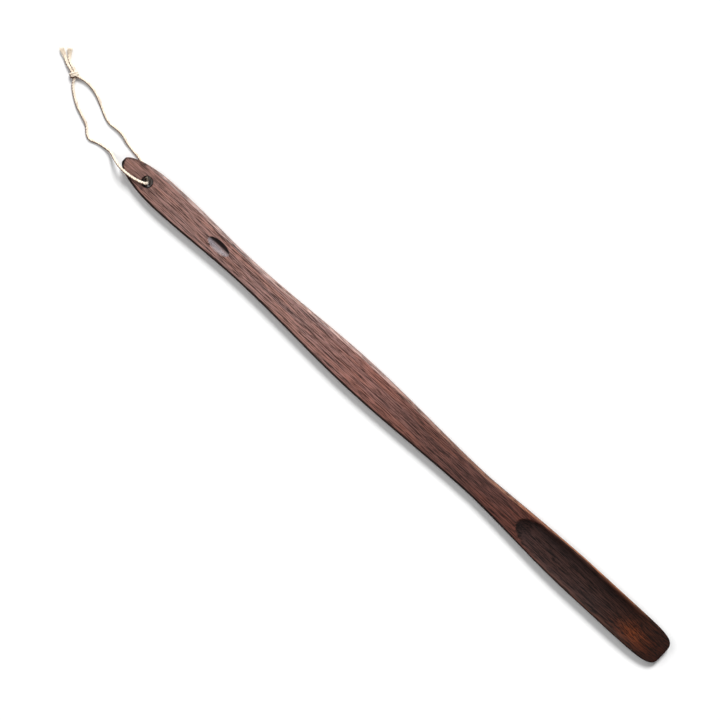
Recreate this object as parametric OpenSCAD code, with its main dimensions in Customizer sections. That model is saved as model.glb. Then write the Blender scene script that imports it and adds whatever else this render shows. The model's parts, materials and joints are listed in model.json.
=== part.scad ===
// Long wooden shoehorn with a twine hanging loop.
// Millimetres. +X runs from the handle end to the blade tip, +Z comes out of the hollowed front,
// and the origin is under the middle of the wood, on the surface that its back rests on.

/* [Wood] */
// Length of the wood from handle end to blade tip
overall_length = 750; // [720:5:790]
// Thickness of the shaft, back to front
shaft_thickness = 12; // [11.6:0.1:12.6]
// Widest part of the handle
handle_width = 33; // [31:0.5:34]
// Narrowest part between the thumb dimple and the middle
waist_width = 25.8; // [24:0.1:28]
// Swell in the middle of the shaft
middle_width = 36.5; // [32:0.5:38]
// Narrowest part above the blade
neck_width = 27; // [25:0.5:30]
// Widest part of the blade
blade_width = 39; // [37:0.5:41]

/* [Edges] */
// Rounding of the front edges on handle and shaft
front_edge = 2.8; // [2:0.1:3.2]
// Rounding of the back edges on handle and shaft
back_edge = 4; // [3:0.1:5]
// Rounding of the blade's rim
rim_edge = 1.3; // [1:0.1:1.6]
// How far the front bulges along its middle
front_crown = 0.3; // [0:0.05:0.4]

/* [Hanging hole] */
// Distance of the hole from the handle end
hole_from_end = 33.4; // [33:0.1:34]
// Diameter of the hole
hole_diameter = 11; // [10.8:0.1:11.4]
// Width of the bevel round each mouth of the hole
hole_bevel = 0.7; // [0.4:0.1:1]
// How far the handle's back is lifted, so the twine passes under it
handle_lift = 4; // [3.8:0.1:4.2]

/* [Thumb dimple] */
// Distance of the dimple's middle from the handle end
dimple_from_end = 132.1; // [126:0.1:138]
// Length of the dimple
dimple_length = 29.6; // [26:0.1:32]
// Width of the dimple
dimple_width = 12.4; // [11:0.1:14]
// Depth of the dimple
dimple_depth = 3.6; // [2:0.1:4]

/* [Blade channel] */
// Length from the rounded start of the channel to the blade tip
channel_length = 203; // [195:1:210]
// Depth of the channel below the rims
channel_depth = 5.6; // [4.8:0.1:6]
// Width of the rim beside the channel, its rounding included
rim_width = 2.6; // [2.3:0.1:3]
// How far the back rises towards the tip
tip_lift = 5.8; // [5:0.1:6]

/* [Twine] */
// Diameter of the twine
twine_diameter = 2.8; // [2.6:0.1:2.9]
// Diameter of a tail at its frayed tip
fray_diameter = 3.6; // [3:0.1:3.8]
// Sides of the tube that stands for the twine
twine_sides = 8; // [8:1:10]

/* [Hidden] */
wood_colour = [0.42, 0.27, 0.23];
twine_colour = [0.87, 0.74, 0.57];

// Where the outline turns from one swell to the next, measured from the handle end
handle_at = 58;
waist_at = 170;
middle_at = 329;
neck_at = overall_length - 253;
blade_at = overall_length - 114;
tip_from = overall_length - 60;
tip_power = 4.7;
// How fast the outline already opens where it leaves the neck, as a share of the whole change
neck_start_slope = 0.8;

// The handle's back comes down to the resting surface between these two places
lift_until = 56;
lift_end = 122;
// The handle end and the blade tip are blunt: their outline curves would close this much further out
nose_blunt = 1;
tip_blunt = 0.002;
// Lengths over which both ends are rounded in side view, and the share of the thickness left at the end
nose_rounding = 6;
tip_rounding = 3;
end_share = 0.5;

// The channel's start, end and the stretches over which its depth changes
channel_at = overall_length - channel_length;
channel_entry = 22;
channel_mouth = 24;
channel_rise_from = overall_length - 68;
channel_end = overall_length - 14;
channel_power = 2.3;
belly_from = overall_length - 190;
lip_from = overall_length - 62;
lip_drop = 3;

// Cross-section sampling
face_steps = 16;
corner_steps = 3;
back_steps = 3;
face_inner = 0.93;
eps = 0.01;

hole_x = hole_from_end - overall_length / 2;
hole_radius = hole_diameter / 2;
twine_radius = twine_diameter / 2;

// ---- outline and height functions of a, the distance from the handle end ----

function share(a, from, to) = min(1, max(0, (a - from) / (to - from)));

// Smooth step from 0 to 1, with an optional slope at its start
function ease(u, slope = 0) = u * u * (3 - 2 * u) + slope * u * (1 - u) * (1 - u);

function between(a, from, to, low, high, slope = 0) =
    low + (high - low) * ease(share(a, from, to), slope);

function round_end(u, power) = pow(max(0, 1 - pow(u, power)), 1 / power);

function half_width(a) =
    a < handle_at ? handle_width / 2 * round_end((handle_at - a) / (handle_at + nose_blunt), 2)
    : a < waist_at ? between(a, handle_at, waist_at, handle_width, waist_width) / 2
    : a < middle_at ? between(a, waist_at, middle_at, waist_width, middle_width) / 2
    : a < neck_at ? between(a, middle_at, neck_at, middle_width, neck_width) / 2
    : a < tip_from ? between(a, neck_at, blade_at, neck_width, blade_width, neck_start_slope) / 2
    : blade_width / 2 * round_end((1 - tip_blunt) * share(a, tip_from, overall_length), tip_power);

// Height of the front face's edge, before the nose and the tip are rounded off
function front_height(a) =
    shaft_thickness - lip_drop * pow(share(a, lip_from, overall_length), 2);

function back_height(a) =
    a < lift_end ? between(a, lift_until, lift_end, handle_lift, 0)
    : tip_lift * pow(share(a, belly_from, overall_length), 1.6);

// Rounds both ends off in side view: 1 along the wood, smaller at the very ends
function end_round(u) = end_share + (1 - end_share) * round_end(u, 2);

function nose_share(a) =
    end_round(1 - share(a, 0, nose_rounding))
    * end_round(share(a, overall_length - tip_rounding, overall_length));

function middle_height(a) = (front_height(a) + back_height(a)) / 2;
function half_height(a) = (front_height(a) - back_height(a)) / 2 * nose_share(a);

function blade_share(a) = ease(share(a, channel_at - 30, channel_at + 60));

function front_round(a) =
    min(front_edge + (rim_edge - front_edge) * blade_share(a), half_width(a) * 0.9, half_height(a) * 0.9);

// The back edge is a quarter ellipse that widens into the blade's round belly
function back_round_y(a) =
    min(back_edge + (half_width(a) * 0.92 - back_edge) * blade_share(a), half_width(a) * 0.94);

function back_round_z(a) =
    let(room = 2 * half_height(a) - front_round(a))
    min(back_edge + (room - 1 - back_edge) * blade_share(a), room * 0.9);

// ---- hollows in the front face ----

function dimple(a, y) =
    let(u = (a - dimple_from_end) / (dimple_length / 2), v = y / (dimple_width / 2))
    dimple_depth * max(0, 1 - u * u - v * v);

function channel_half_width(a) =
    (half_width(a) - rim_width) * round_end(1 - share(a, channel_at, channel_at + channel_mouth), 2);

function channel_floor(a) =
    let(entry = 1 - pow(1 - share(a, channel_at, channel_at + channel_entry), 2))
    channel_depth * pow(entry, 0.8) * (1 - ease(share(a, channel_rise_from, channel_end)));

function channel(a, y) =
    a <= channel_at ? 0
    : channel_floor(a) * max(0, 1 - pow(abs(y) / max(eps, channel_half_width(a)), channel_power));

function front_face(a, y) =
    middle_height(a) + half_height(a)
    + front_crown * (1 - blade_share(a)) * nose_share(a) * (1 - pow(y / (half_width(a) + eps), 2))
    - dimple(a, y) - channel(a, y);

// ---- one cross-section, as points in the plane at distance a ----

// Across the face: the rim's flat top, then even steps over the channel
function face_place(k) =
    k == 0 ? -1 : k == face_steps ? 1
    : face_inner * (2 * (k - 1) / (face_steps - 2) - 1);

function section(a) =
    let(w = half_width(a), r = front_round(a), by = back_round_y(a), bz = back_round_z(a),
        top = middle_height(a) + half_height(a), bottom = middle_height(a) - half_height(a),
        flat = w - r, seat = w - by)
    concat(
        [for (k = [0 : face_steps]) let(y = flat * face_place(k)) [y, front_face(a, y)]],
        [for (k = [1 : corner_steps]) let(t = 90 * k / corner_steps)
            [flat + r * sin(t), top - r + r * cos(t)]],
        [for (k = [0 : back_steps]) let(t = 90 * k / back_steps)
            [seat + by * cos(t), bottom + bz - bz * sin(t)]],
        [[0, bottom]],
        [for (k = [back_steps : -1 : 0]) let(t = 90 * k / back_steps)
            [-seat - by * cos(t), bottom + bz - bz * sin(t)]],
        [for (k = [corner_steps : -1 : 1]) let(t = 90 * k / corner_steps)
            [-flat - r * sin(t), top - r + r * cos(t)]]
    );

// Distances of the cross-sections: close together at both ends, the dimple and the channel's start
function spaced(from, to, steps) = [for (k = [1 : steps]) from + (to - from) * k / steps];

dimple_from = dimple_from_end - dimple_length / 2;
dimple_to = dimple_from_end + dimple_length / 2;
entry_to = channel_at + 26;
nose_stations = [for (k = [0 : 9]) handle_at * pow(k / 9, 2)];
entry_stations = [for (k = [1 : 11]) channel_at + (entry_to - channel_at) * pow(k / 11, 1.5)];
tip_stations = [for (k = [1 : 11]) tip_from + (overall_length - tip_from) * (1 - pow(1 - k / 11, 2))];
stations = concat(
    nose_stations,
    spaced(handle_at, dimple_from, 4),
    spaced(dimple_from, dimple_to, 10),
    spaced(dimple_to, channel_at, 18),
    entry_stations,
    spaced(entry_to, tip_from, 8),
    tip_stations
);

// ---- twine ----

// Routes, from the middle of the hole outwards: x and y from the hole's axis, z from the resting surface
front_route = [
    [0.4, -2.0, 7.8], [1.0, -2.0, 11.0], [0.3, -2.3, 13.5], [-1.9, -3.2, 14.6], [-5.2, -4.6, 14.4],
    [-10, -6.0, 14.2], [-18, -7.4, 14.1], [-26, -7.8, 13.9], [-33.5, -7.2, 12.9], [-41, -5.8, 9.2],
    [-49, -4.0, 4.8], [-57.5, -4.8, 2.2], [-66, -6.6, 1.5], [-74, -9.2, 1.5], [-79.5, -7.4, 1.6],
    [-86, -1.2, 2.0], [-95.5, 3.4, 2.6], [-106, 7.4, 2.2], [-116, 13.4, 1.7], [-123.6, 20.0, 2.0],
    [-127.4, 26.6, 3.2]
];
back_route = [
    [0.4, -2.0, 7.8], [-0.2, -2.0, 4.6], [-1.3, -1.3, 2.4], [-3.6, 0.4, 1.5], [-10, 4.6, 1.5],
    [-17.8, 9.2, 1.5], [-25, 11.4, 1.5], [-33, 12.4, 1.6], [-43, 14.4, 2.2], [-51, 17.2, 3.0],
    [-60, 17.8, 2.6], [-70, 17.0, 1.8], [-77, 19.0, 1.5], [-86.5, 23.6, 1.6], [-96, 28.4, 2.2],
    [-106, 31.6, 2.6], [-115.5, 32.4, 2.8], [-124.4, 30.8, 3.4]
];
left_tail_route = [
    [-131.6, 29.6, 3.6], [-137.2, 31.4, 3.2], [-142.8, 33.0, 2.6], [-150, 36.8, 2.2], [-157.6, 40.6, 2.0]
];
right_tail_route = [
    [-131.8, 32.8, 3.8], [-137.4, 34.7, 3.2], [-142.8, 36.6, 2.6], [-147.2, 41.2, 2.2], [-151.0, 46.0, 2.0]
];
knot_centre = [-129.4, 29.6, 3.6];
knot_turn = -25;
knot_half_length = 5.7;
knot_half_width = 4.5;
knot_half_height = 3.5;

function unit(v) = v / norm(v);

function tangent(route, i) =
    unit(route[min(i + 1, len(route) - 1)] - route[max(i - 1, 0)]);

// A side direction carried along the route, so that the tube does not twist
function side(route, i) =
    let(t = tangent(route, i), before = i == 0 ? [0, 1, 0] : side(route, i - 1))
    unit(before - (before * t) * t);

function ring(route, i, radius) =
    let(t = tangent(route, i), u = side(route, i), v = cross(t, u))
    [for (k = [0 : twine_sides - 1]) let(angle = 360 * (k + 0.5) / twine_sides)
        route[i] + radius * (cos(angle) * u + sin(angle) * v)];

// Faces of a closed skin over rings of equal point counts. Each end cap starts at point cap_from
function skin_faces(rings, sides, out, cap_from = 0) =
    let(
        walls = [for (i = [0 : rings - 2]) for (k = [0 : sides - 1])
            let(a = i * sides + k, b = i * sides + (k + 1) % sides, c = b + sides, d = a + sides)
            each [[a, b, c], [a, c, d]]],
        ring_last = (rings - 1) * sides,
        caps = [[for (k = [0 : sides - 1]) (cap_from + sides - k) % sides],
            [for (k = [0 : sides - 1]) ring_last + (cap_from + k) % sides]],
        all = concat(walls, caps)
    )
    out ? [for (f = all) [for (k = [0 : len(f) - 1]) f[(len(f) - k) % len(f)]]] : all;

module tube(route, start_radius, end_radius) {
    last = len(route) - 1;
    points = [for (i = [0 : last])
        each ring(route, i, start_radius + (end_radius - start_radius) * i / last)];
    translate([hole_x, 0, 0])
        polyhedron(points, skin_faces(last + 1, twine_sides, true), convexity = 6);
}

// ---- wood ----

module wood_blank() {
    points = [for (a = stations) for (p = section(a)) [a - overall_length / 2, p[0], p[1]]];
    sides = len(section(stations[0]));
    back_middle = face_steps + corner_steps + back_steps + 2;
    polyhedron(points, skin_faces(len(stations), sides, false, back_middle), convexity = 8);
}

module hanging_hole() {
    top = front_face(hole_from_end, 0);
    bottom = back_height(hole_from_end);
    translate([hole_x, 0, 0]) {
        translate([0, 0, -1])
            cylinder(h = top + 3, r = hole_radius, $fn = 64);
        translate([0, 0, top - hole_bevel])
            cylinder(h = 2 * hole_bevel, r1 = hole_radius, r2 = hole_radius + 2 * hole_bevel, $fn = 64);
        translate([0, 0, bottom - hole_bevel])
            cylinder(h = 2 * hole_bevel, r1 = hole_radius + 2 * hole_bevel, r2 = hole_radius, $fn = 64);
    }
}

module shoehorn_body() {
    color(wood_colour)
        difference() {
            wood_blank();
            hanging_hole();
        }
}

// ---- hanging loop ----

module twine_front_run() {
    color(twine_colour)
        tube(front_route, twine_radius, twine_radius);
}

module twine_back_run() {
    color(twine_colour)
        tube(back_route, twine_radius, twine_radius);
}

module twine_knot() {
    color(twine_colour)
        translate([hole_x, 0, 0] + knot_centre)
            rotate([0, 0, knot_turn])
                resize([2 * knot_half_length, 2 * knot_half_width, 2 * knot_half_height])
                    sphere(r = knot_half_width, $fn = 20);
}

module twine_tail_left() {
    color(twine_colour)
        tube(left_tail_route, twine_radius, fray_diameter / 2);
}

module twine_tail_right() {
    color(twine_colour)
        tube(right_tail_route, twine_radius, fray_diameter / 2);
}

shoehorn_body();
twine_front_run();
twine_back_run();
twine_knot();
twine_tail_left();
twine_tail_right();
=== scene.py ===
"""Long wooden shoehorn with a twine hanging loop: finished pieces, materials and studio.

Lengths inside the classes are millimetres, as on a maker's drawing, and become metres where a mesh is made.
Distances called "a" run along the wood from the handle end, and "s" runs along the twine from the hole.
"""

import json
import logging
import math
from dataclasses import dataclass, field
from enum import Enum
from typing import Any

import bpy
import numpy as np
from mathutils import Matrix, Vector

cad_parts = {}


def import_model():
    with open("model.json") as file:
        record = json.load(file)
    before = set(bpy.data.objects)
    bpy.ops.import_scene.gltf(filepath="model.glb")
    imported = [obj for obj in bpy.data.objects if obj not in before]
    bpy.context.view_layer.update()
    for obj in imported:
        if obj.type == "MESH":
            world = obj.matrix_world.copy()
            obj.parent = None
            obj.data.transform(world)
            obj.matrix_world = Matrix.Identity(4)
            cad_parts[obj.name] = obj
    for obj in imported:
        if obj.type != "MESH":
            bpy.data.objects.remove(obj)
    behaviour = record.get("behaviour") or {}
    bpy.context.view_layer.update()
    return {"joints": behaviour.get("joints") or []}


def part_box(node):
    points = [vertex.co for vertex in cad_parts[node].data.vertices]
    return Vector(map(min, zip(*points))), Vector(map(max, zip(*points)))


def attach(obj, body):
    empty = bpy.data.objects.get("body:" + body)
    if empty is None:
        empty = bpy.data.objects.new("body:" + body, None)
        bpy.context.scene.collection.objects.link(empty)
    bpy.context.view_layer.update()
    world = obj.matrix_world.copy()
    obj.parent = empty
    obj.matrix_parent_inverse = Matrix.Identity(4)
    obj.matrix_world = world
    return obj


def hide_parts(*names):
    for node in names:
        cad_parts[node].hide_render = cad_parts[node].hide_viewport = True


MM = 0.001
LOG = logging.getLogger("shoehorn")
Points = np.ndarray


class Body(Enum):
    """The CAD bodies that pieces ride on."""

    WOOD = "shoehorn"
    LOOP = "hang_loop"


class Slot(Enum):
    """The record's material slots."""

    WOOD = "stained_wood"
    TWINE = "twine"


# ---------------------------------------------------------------- small helpers


def share(value: Points, low: float, high: float) -> Points:
    """How far value has come from low to high, held between 0 and 1.

    Args:
        value: one number or an array.
        low: where the share is 0.
        high: where the share is 1.

    Returns:
        The share, of the same shape as value.
    """
    return np.clip((value - low) / (high - low), 0.0, 1.0)


def ease(u: Points, slope: float = 0.0) -> Points:
    """Smooth step: u squared times (3 - 2u), plus slope times u times (1 - u) squared.

    Args:
        u: share from 0 to 1.
        slope: steepness at the start, where 0 starts level.

    Returns:
        The eased share.
    """
    return u * u * (3.0 - 2.0 * u) + slope * u * (1.0 - u) ** 2


def round_end(u: Points, power: float) -> Points:
    """Superellipse closing: the power-th root of (1 - u to that power).

    Args:
        u: 0 where the shape is full, 1 where it closes.
        power: 2 is an ellipse, and more is squarer.

    Returns:
        Share of the full size that is left.
    """
    return np.maximum(0.0, 1.0 - np.abs(u) ** power) ** (1.0 / power)


def soft_positive(value: Points, width: float) -> Points:
    """Half the sum of value and the root of value squared plus width squared: 0 below, value above.

    Args:
        value: any array.
        width: how wide the rounding is, in value's own units.

    Returns:
        The rounded positive part.
    """
    return 0.5 * (value + np.sqrt(value * value + width * width))


def linear(hex_colour: str, alpha: float = 1.0) -> tuple[float, float, float, float]:
    """Turns an sRGB hex colour into linear light.

    Args:
        hex_colour: six hex digits, with or without a hash sign.
        alpha: the fourth component.

    Returns:
        Linear red, green and blue, and alpha.
    """
    digits = hex_colour.lstrip("#")
    parts = [int(digits[i : i + 2], 16) / 255.0 for i in (0, 2, 4)]
    light = [c / 12.92 if c <= 0.04045 else ((c + 0.055) / 1.055) ** 2.4 for c in parts]
    return (light[0], light[1], light[2], alpha)


def grid_faces(rows: int, columns: int, closed: bool) -> Points:
    """Quads between neighbouring rows of a grid of points stored row by row.

    Args:
        rows: number of rows.
        columns: points in a row.
        closed: whether a row's last point joins its first.

    Returns:
        An array of four indices a quad, in the order row, next row, next row's next point, next point.
    """
    steps = columns if closed else columns - 1
    i, k = np.meshgrid(np.arange(rows - 1), np.arange(steps), indexing="ij")
    after = (k + 1) % columns
    quads = [i * columns + k, (i + 1) * columns + k, (i + 1) * columns + after, i * columns + after]
    return np.stack(quads, axis=-1).reshape(-1, 4)


def fan(ring: Points, centre: int) -> Points:
    """Triangles from a centre point to each side of a ring.

    Args:
        ring: the ring's indices, in order.
        centre: index of the centre point.

    Returns:
        One triangle a side.
    """
    return np.stack([ring, np.roll(ring, -1), np.full_like(ring, centre)], axis=1)


def make_piece(
    name: str, points: Points, faces: list[list[int]], uv: Points | None = None
) -> bpy.types.Object:
    """Makes a smooth-shaded mesh object at the origin.

    Args:
        name: the object's name.
        points: vertices in millimetres.
        faces: quads and triangles, as lists of indices.
        uv: one UV pair a vertex, where the surface has its own map.

    Returns:
        The new object, linked to the scene.
    """
    mesh = bpy.data.meshes.new(name)
    mesh.from_pydata((points * MM).tolist(), [], faces)
    mesh.polygons.foreach_set("use_smooth", np.ones(len(mesh.polygons), dtype=bool))
    if uv is not None:
        corners = np.empty(len(mesh.loops), dtype=np.int32)
        mesh.loops.foreach_get("vertex_index", corners)
        layer = mesh.uv_layers.new(name="along_around")
        layer.data.foreach_set("uv", uv[corners].astype(np.float32).ravel())
    mesh.update()
    piece = bpy.data.objects.new(name, mesh)
    bpy.context.scene.collection.objects.link(piece)
    return piece


def add_attribute(piece: bpy.types.Object, name: str, values: Points) -> None:
    """Stores one number a vertex for the material to read.

    Args:
        piece: mesh object.
        name: the attribute's name.
        values: one number a vertex.
    """
    layer = piece.data.attributes.new(name, "FLOAT", "POINT")
    layer.data.foreach_set("value", values.astype(np.float32))


def add_node(
    tree: bpy.types.NodeTree, kind: str, inputs: dict[Any, Any] | None = None, **settings: Any
) -> bpy.types.Node:
    """Adds a shader node with its settings, values and links.

    Args:
        tree: the material's node tree.
        kind: the node's type name, such as ShaderNodeMix.
        inputs: input name or number to a value, or to an output socket to link.
        **settings: the node's own properties.

    Returns:
        The new node.
    """
    node = tree.nodes.new(kind)
    for key, value in settings.items():
        setattr(node, key, value)
    for key, value in (inputs or {}).items():
        if isinstance(value, bpy.types.NodeSocket):
            tree.links.new(value, node.inputs[key])
        else:
            node.inputs[key].default_value = value
    return node


def new_material(name: str) -> tuple[bpy.types.Material, bpy.types.NodeTree]:
    """Makes an empty node material.

    Args:
        name: the material's name.

    Returns:
        The material and its node tree, with no nodes in it.
    """
    material = bpy.data.materials.new(name)
    material.use_nodes = True
    material.node_tree.nodes.clear()
    return material, material.node_tree


def fill_ramp(node: bpy.types.Node, stops: list[tuple[float, tuple[float, float, float, float]]]) -> None:
    """Sets a colour ramp's stops.

    Args:
        node: a ShaderNodeValToRGB.
        stops: place and linear colour of each stop, in order.
    """
    elements = node.color_ramp.elements
    while len(elements) < len(stops):
        elements.new(1.0)
    for element, (place, colour) in zip(elements, stops, strict=True):
        element.position = place
        element.color = colour


# ---------------------------------------------------------------- finishes


@dataclass(frozen=True)
class StainedBeech:
    """Beech stained dark brown, sanded by hand and lacquered satin.

    The stain sinks into the pores and the coarse bands between the growth rings, so the eye sees fine dark
    lines, short dashes and long soft streaks. The wood is redder where it is lighter, greyer in the carved
    channel, nearly black inside the hole, where painted shade joins the darker end grain, and paler where
    sanding broke the edges.
    Real pores are about 0.1 mm wide and 0.4 mm apart, too fine to show on the whole object, so lines, dashes
    and streaks are drawn coarser, at the sizes below, in millimetres.

    Part of the light and shade is in the colour itself: the dimple's dark and pale halves, the dark -Y edge
    and the pale +Y edge, the dark nose and handle end, the channel's dark entry and +Y wall, the twine's
    shadow below the hole, the dark bore, and the lighter handle. It is fixed to the wood and suits light from
    +Y only.
    """

    name: str = "stained_beech"
    # share of the wood's length from the handle end, and the colour there: the stain, with painted light that
    # is brighter at the handle end and falls off to the blade
    along: tuple[tuple[float, str], ...] = (
        (0.03, "79584F"), (0.12, "7F5F57"), (0.33, "7E605A"), (0.44, "79534B"), (0.55, "5D3E37"),
        (0.66, "4D302A"), (0.74, "4D2B23"), (0.80, "3E261F"), (0.93, "3A2016"), (1.0, "28120A"),
    )
    carved: tuple[tuple[float, str], ...] = (
        (0.72, "30201E"), (0.88, "291A17"), (0.95, "2A1209"), (1.0, "1F0A05"),
    )
    edges: tuple[tuple[float, str], ...] = ((0.45, "BBA49C"), (0.62, "9A6E58"), (0.95, "99643F"))
    # growth rings: share of the span, and tone
    rings: tuple[tuple[float, float], ...] = (
        (0.0, 0.50), (0.14, 0.44), (0.17, 0.55), (0.30, 0.50), (0.335, 0.42), (0.36, 0.58), (0.45, 0.54),
        (0.545, 0.56), (0.560, 0.72), (0.575, 0.42), (0.68, 0.46), (0.74, 0.41), (0.76, 0.55), (1.0, 0.48),
    )
    ring_span: float = 52.0  # breadth of layers that the ring tones cover
    ring_weight: float = 1.3
    tip_glow: str = "6A3010"
    # painted highlight: the dimple's pale colour
    polish_and_painted_highlight: str = "867A7C"
    # painted shade: the dark colour along the -Y edge, round the nose, at the handle's end, in the hollows
    # and below the hole
    painted_shade_colour: str = "160B09"
    # painted shade inside the hole, nearly black, together with the end grain's darker stain
    bore_shade_and_end_grain: str = "120B0A"
    roughness: float = 0.60
    streak_size: tuple[float, float, float] = (70.0, 0.80, 2.0)
    streak_weight: float = 4.2
    dash_size: tuple[float, float, float] = (14.0, 0.50, 0.8)
    dash_weight: float = 8.0
    line_spacing: float = 2.4  # between the fine lines of pores
    line_weight: float = 0.62
    bend_size: tuple[float, float, float] = (60.0, 7.0, 7.0)  # of the wander of the pore lines
    bend_turn: float = 16.0  # radians that the wander can move a pore line by
    break_size: tuple[float, float, float] = (9.0, 1.6, 1.6)  # of the gaps in the pore lines
    ray_size: tuple[float, float, float] = (4.2, 0.75, 0.9)  # beech shows its rays as flecks a few mm long
    ray_weight: float = -0.12
    tone_lift: float = 0.05
    layer_tilt: float = 0.72  # how far a growth layer moves sideways for each millimetre of depth
    wave_size: tuple[float, float, float] = (170.0, 80.0, 80.0)
    wave_height: float = 2.6
    drift_size: tuple[float, float, float] = (80.0, 6.0, 9.0)  # of the patches of cool and warm brown
    # factors on red, green and blue
    cool: tuple[float, float, float, float] = (0.94, 1.0, 1.05, 1.0)
    warm: tuple[float, float, float, float] = (1.07, 0.99, 0.94, 1.0)

    def build(self, length: float) -> bpy.types.Material:
        """Makes the material.

        Args:
            length: length of the wood in millimetres, which places the darkening to the blade: stain and
                painted light falloff.

        Returns:
            The material.
        """
        material, tree = new_material(self.name)
        place = add_node(tree, "ShaderNodeTexCoord").outputs["Object"]
        in_mm = add_node(
            tree, "ShaderNodeVectorMath", {0: place, 1: (1 / MM, 1 / MM, 1 / MM)}, operation="MULTIPLY"
        ).outputs["Vector"]
        split = add_node(tree, "ShaderNodeSeparateXYZ", {"Vector": in_mm})
        layers, across = self.layer_place(tree, in_mm, split)
        streak = self.grain(tree, layers, self.streak_size, detail=3.0)
        dash = self.grain(tree, layers, self.dash_size, detail=2.0)
        ray = self.ray_flecks(tree, layers)
        tone = self.blend_tones(tree, layers, across, streak, dash, ray)
        colour = self.stain(tree, tone, in_mm, split, length)
        rough = add_node(
            tree,
            "ShaderNodeMapRange",
            {"Value": streak, "From Min": 0.3, "From Max": 0.7, "To Min": self.roughness + 0.08,
             "To Max": self.roughness - 0.06},
        ).outputs["Result"]
        for mark, change in (("polish_and_painted_highlight", -0.22), ("channel", 0.22)):
            rough = add_node(
                tree, "ShaderNodeMath", {0: self.marked(tree, mark), 1: change, 2: rough},
                operation="MULTIPLY_ADD",
            ).outputs["Value"]
        shader = add_node(
            tree,
            "ShaderNodeBsdfPrincipled",
            {"Base Color": colour, "Roughness": rough, "IOR": 1.47, "Specular IOR Level": 0.2,
             "Normal": self.relief(tree, streak, dash, ray)},
        )
        add_node(tree, "ShaderNodeOutputMaterial", {"Surface": shader.outputs["BSDF"]})
        return material

    def layer_place(
        self, tree: bpy.types.NodeTree, in_mm: bpy.types.NodeSocket, split: bpy.types.Node
    ) -> tuple[bpy.types.NodeSocket, bpy.types.NodeSocket]:
        """Coordinates that follow the growth layers: along the wood, across the layers, and with the layers.

        Across is y plus the tilt times z, moved by a slow wave, so the layers bend as real ones do and show
        as curves where a hollow cuts through them.

        Args:
            tree: the material's node tree.
            in_mm: place in millimetres.
            split: its three components.

        Returns:
            The vector output, and the part across the layers.
        """
        slow = self.in_cells(tree, in_mm, self.wave_size)
        wave = add_node(
            tree, "ShaderNodeTexNoise", {"Vector": slow, "Scale": 1.0, "Detail": 1.0}
        ).outputs["Fac"]
        tilted = add_node(
            tree, "ShaderNodeMath", {0: split.outputs["Z"], 1: self.layer_tilt, 2: split.outputs["Y"]},
            operation="MULTIPLY_ADD",
        ).outputs["Value"]
        across = add_node(
            tree, "ShaderNodeMath", {0: wave, 1: self.wave_height, 2: tilted}, operation="MULTIPLY_ADD"
        ).outputs["Value"]
        along_layer = add_node(
            tree, "ShaderNodeMath", {0: split.outputs["Y"], 1: -self.layer_tilt, 2: split.outputs["Z"]},
            operation="MULTIPLY_ADD",
        ).outputs["Value"]
        vector = add_node(
            tree, "ShaderNodeCombineXYZ", {"X": split.outputs["X"], "Y": across, "Z": along_layer}
        ).outputs["Vector"]
        return vector, across

    def in_cells(
        self, tree: bpy.types.NodeTree, place: bpy.types.NodeSocket, size: tuple[float, float, float]
    ) -> bpy.types.NodeSocket:
        """A place counted in cells of a size, which stretches a pattern to that size.

        Args:
            tree: the material's node tree.
            place: place in millimetres.
            size: length, width and depth of a cell in millimetres.

        Returns:
            The place in cells.
        """
        scale = tuple(1 / x for x in size)
        return add_node(tree, "ShaderNodeMapping", {"Vector": place, "Scale": scale}).outputs["Vector"]

    def grain(
        self, tree: bpy.types.NodeTree, layers: bpy.types.NodeSocket, size: tuple[float, float, float],
        detail: float,
    ) -> bpy.types.NodeSocket:
        """Noise stretched along the wood.

        Args:
            tree: the material's node tree.
            layers: the layers' coordinates in millimetres.
            size: length, width and depth of one streak in millimetres.
            detail: octaves of the noise.

        Returns:
            The noise value, about 0.5 on average.
        """
        return add_node(
            tree, "ShaderNodeTexNoise",
            {"Vector": self.in_cells(tree, layers, size), "Scale": 1.0, "Detail": detail, "Roughness": 0.62},
        ).outputs["Fac"]

    def ray_flecks(self, tree: bpy.types.NodeTree, layers: bpy.types.NodeSocket) -> bpy.types.NodeSocket:
        """Lens-shaped flecks: 1 near each stretched cell's centre and 0 elsewhere.

        Args:
            tree: the material's node tree.
            layers: the layers' coordinates in millimetres.

        Returns:
            The flecks.
        """
        cells = self.in_cells(tree, layers, self.ray_size)
        away = add_node(tree, "ShaderNodeTexVoronoi", {"Vector": cells, "Scale": 1.0}).outputs["Distance"]
        return add_node(
            tree, "ShaderNodeMapRange", {"Value": away, "From Min": 0.36, "From Max": 0.20},
            interpolation_type="SMOOTHSTEP",
        ).outputs["Result"]

    def pore_lines(
        self, tree: bpy.types.NodeTree, layers: bpy.types.NodeSocket, across: bpy.types.NodeSocket
    ) -> bpy.types.NodeSocket:
        """Fine lines of pores: the sine of the place across the layers, bent and broken up by noise.

        Args:
            tree: the material's node tree.
            layers: the layers' coordinates in millimetres.
            across: place across the growth layers.

        Returns:
            The lines, from -1 to 1.
        """
        bend = self.grain(tree, layers, self.bend_size, detail=1.0)
        phase = add_node(
            tree, "ShaderNodeMath", {0: bend, 1: self.bend_turn}, operation="MULTIPLY"
        ).outputs[0]
        turn = add_node(
            tree, "ShaderNodeMath", {0: across, 1: 2 * math.pi / self.line_spacing, 2: phase},
            operation="MULTIPLY_ADD",
        ).outputs[0]
        wave = add_node(tree, "ShaderNodeMath", {0: turn}, operation="SINE").outputs[0]
        broken = add_node(
            tree, "ShaderNodeMapRange",
            {"Value": self.grain(tree, layers, self.break_size, detail=0.0), "From Min": 0.3,
             "From Max": 0.6},
        ).outputs["Result"]
        return add_node(tree, "ShaderNodeMath", {0: wave, 1: broken}, operation="MULTIPLY").outputs[0]

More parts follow.
